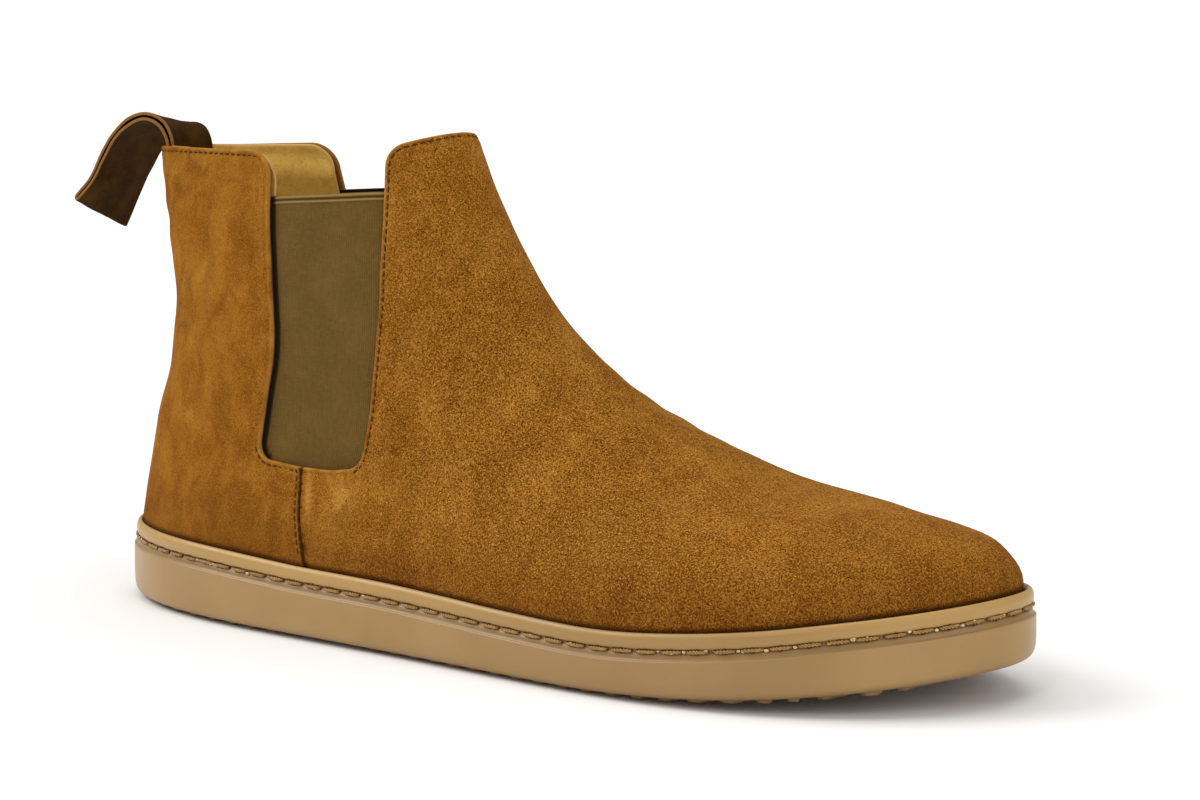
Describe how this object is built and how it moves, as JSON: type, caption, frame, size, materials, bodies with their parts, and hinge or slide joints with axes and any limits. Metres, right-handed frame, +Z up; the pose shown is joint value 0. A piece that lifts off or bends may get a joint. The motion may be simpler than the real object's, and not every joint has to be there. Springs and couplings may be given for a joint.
{
  "type": "chelsea boot",
  "caption": "Ankle-high suede slip-on boot with elastic side panels, a stitched rubber cup sole and a folded pull tab at the back of the collar.",
  "frame": {"origin": "centre of the boot's footprint box, on the ground plane that its tread stands on", "axes": "+X forward to the toe, +Y to the inner (medial) side, +Z up"},
  "size_m": [0.3246, 0.104, 0.1498],
  "materials": {
    "suede": "napped tan suede, matte",
    "elastic": "woven ribbed elastic, matte",
    "lining_leather": "smooth undyed leather, matte",
    "stiffener": "pressed fibre sheet",
    "board": "cellulose board",
    "foam": "closed-cell foam",
    "rubber": "honey crepe-coloured rubber, satin",
    "sole_thread": "waxed twisted thread",
    "upper_thread": "fine matte thread",
    "tab_leather": "dark brown leather strap with raw edges, matte"
  },
  "bodies": {
    "boot": {"vamp": "suede", "quarter_lateral": "suede", "quarter_medial": "suede", "gusset_lateral": "elastic", "gusset_medial": "elastic", "vamp_lining": "lining_leather", "quarter_lining": "lining_leather", "heel_counter": "stiffener", "toe_puff": "stiffener", "lasting_board": "board", "sole_filler": "foam", "footbed": "foam", "footbed_cover": "lining_leather", "cup_sole": "rubber", "sole_stitching": "sole_thread", "quarter_stitching_lateral": "upper_thread", "quarter_stitching_medial": "upper_thread", "vamp_stitching_lateral": "upper_thread", "vamp_stitching_medial": "upper_thread", "pull_tab_root": "tab_leather", "pull_tab_stitching": "upper_thread"},
    "tab_loop": {"pull_tab": "tab_leather"}
  },
  "joints": [
    {"name": "pull_tab_swing", "type": "hinge", "parent": "boot", "child": "tab_loop", "pos_m": [-0.12087, 0.00065, 0.1418], "axis": [0, 1, 0], "range_deg": [-10, 70], "stiffness_Nm_per_rad": 0.02}
  ]
}
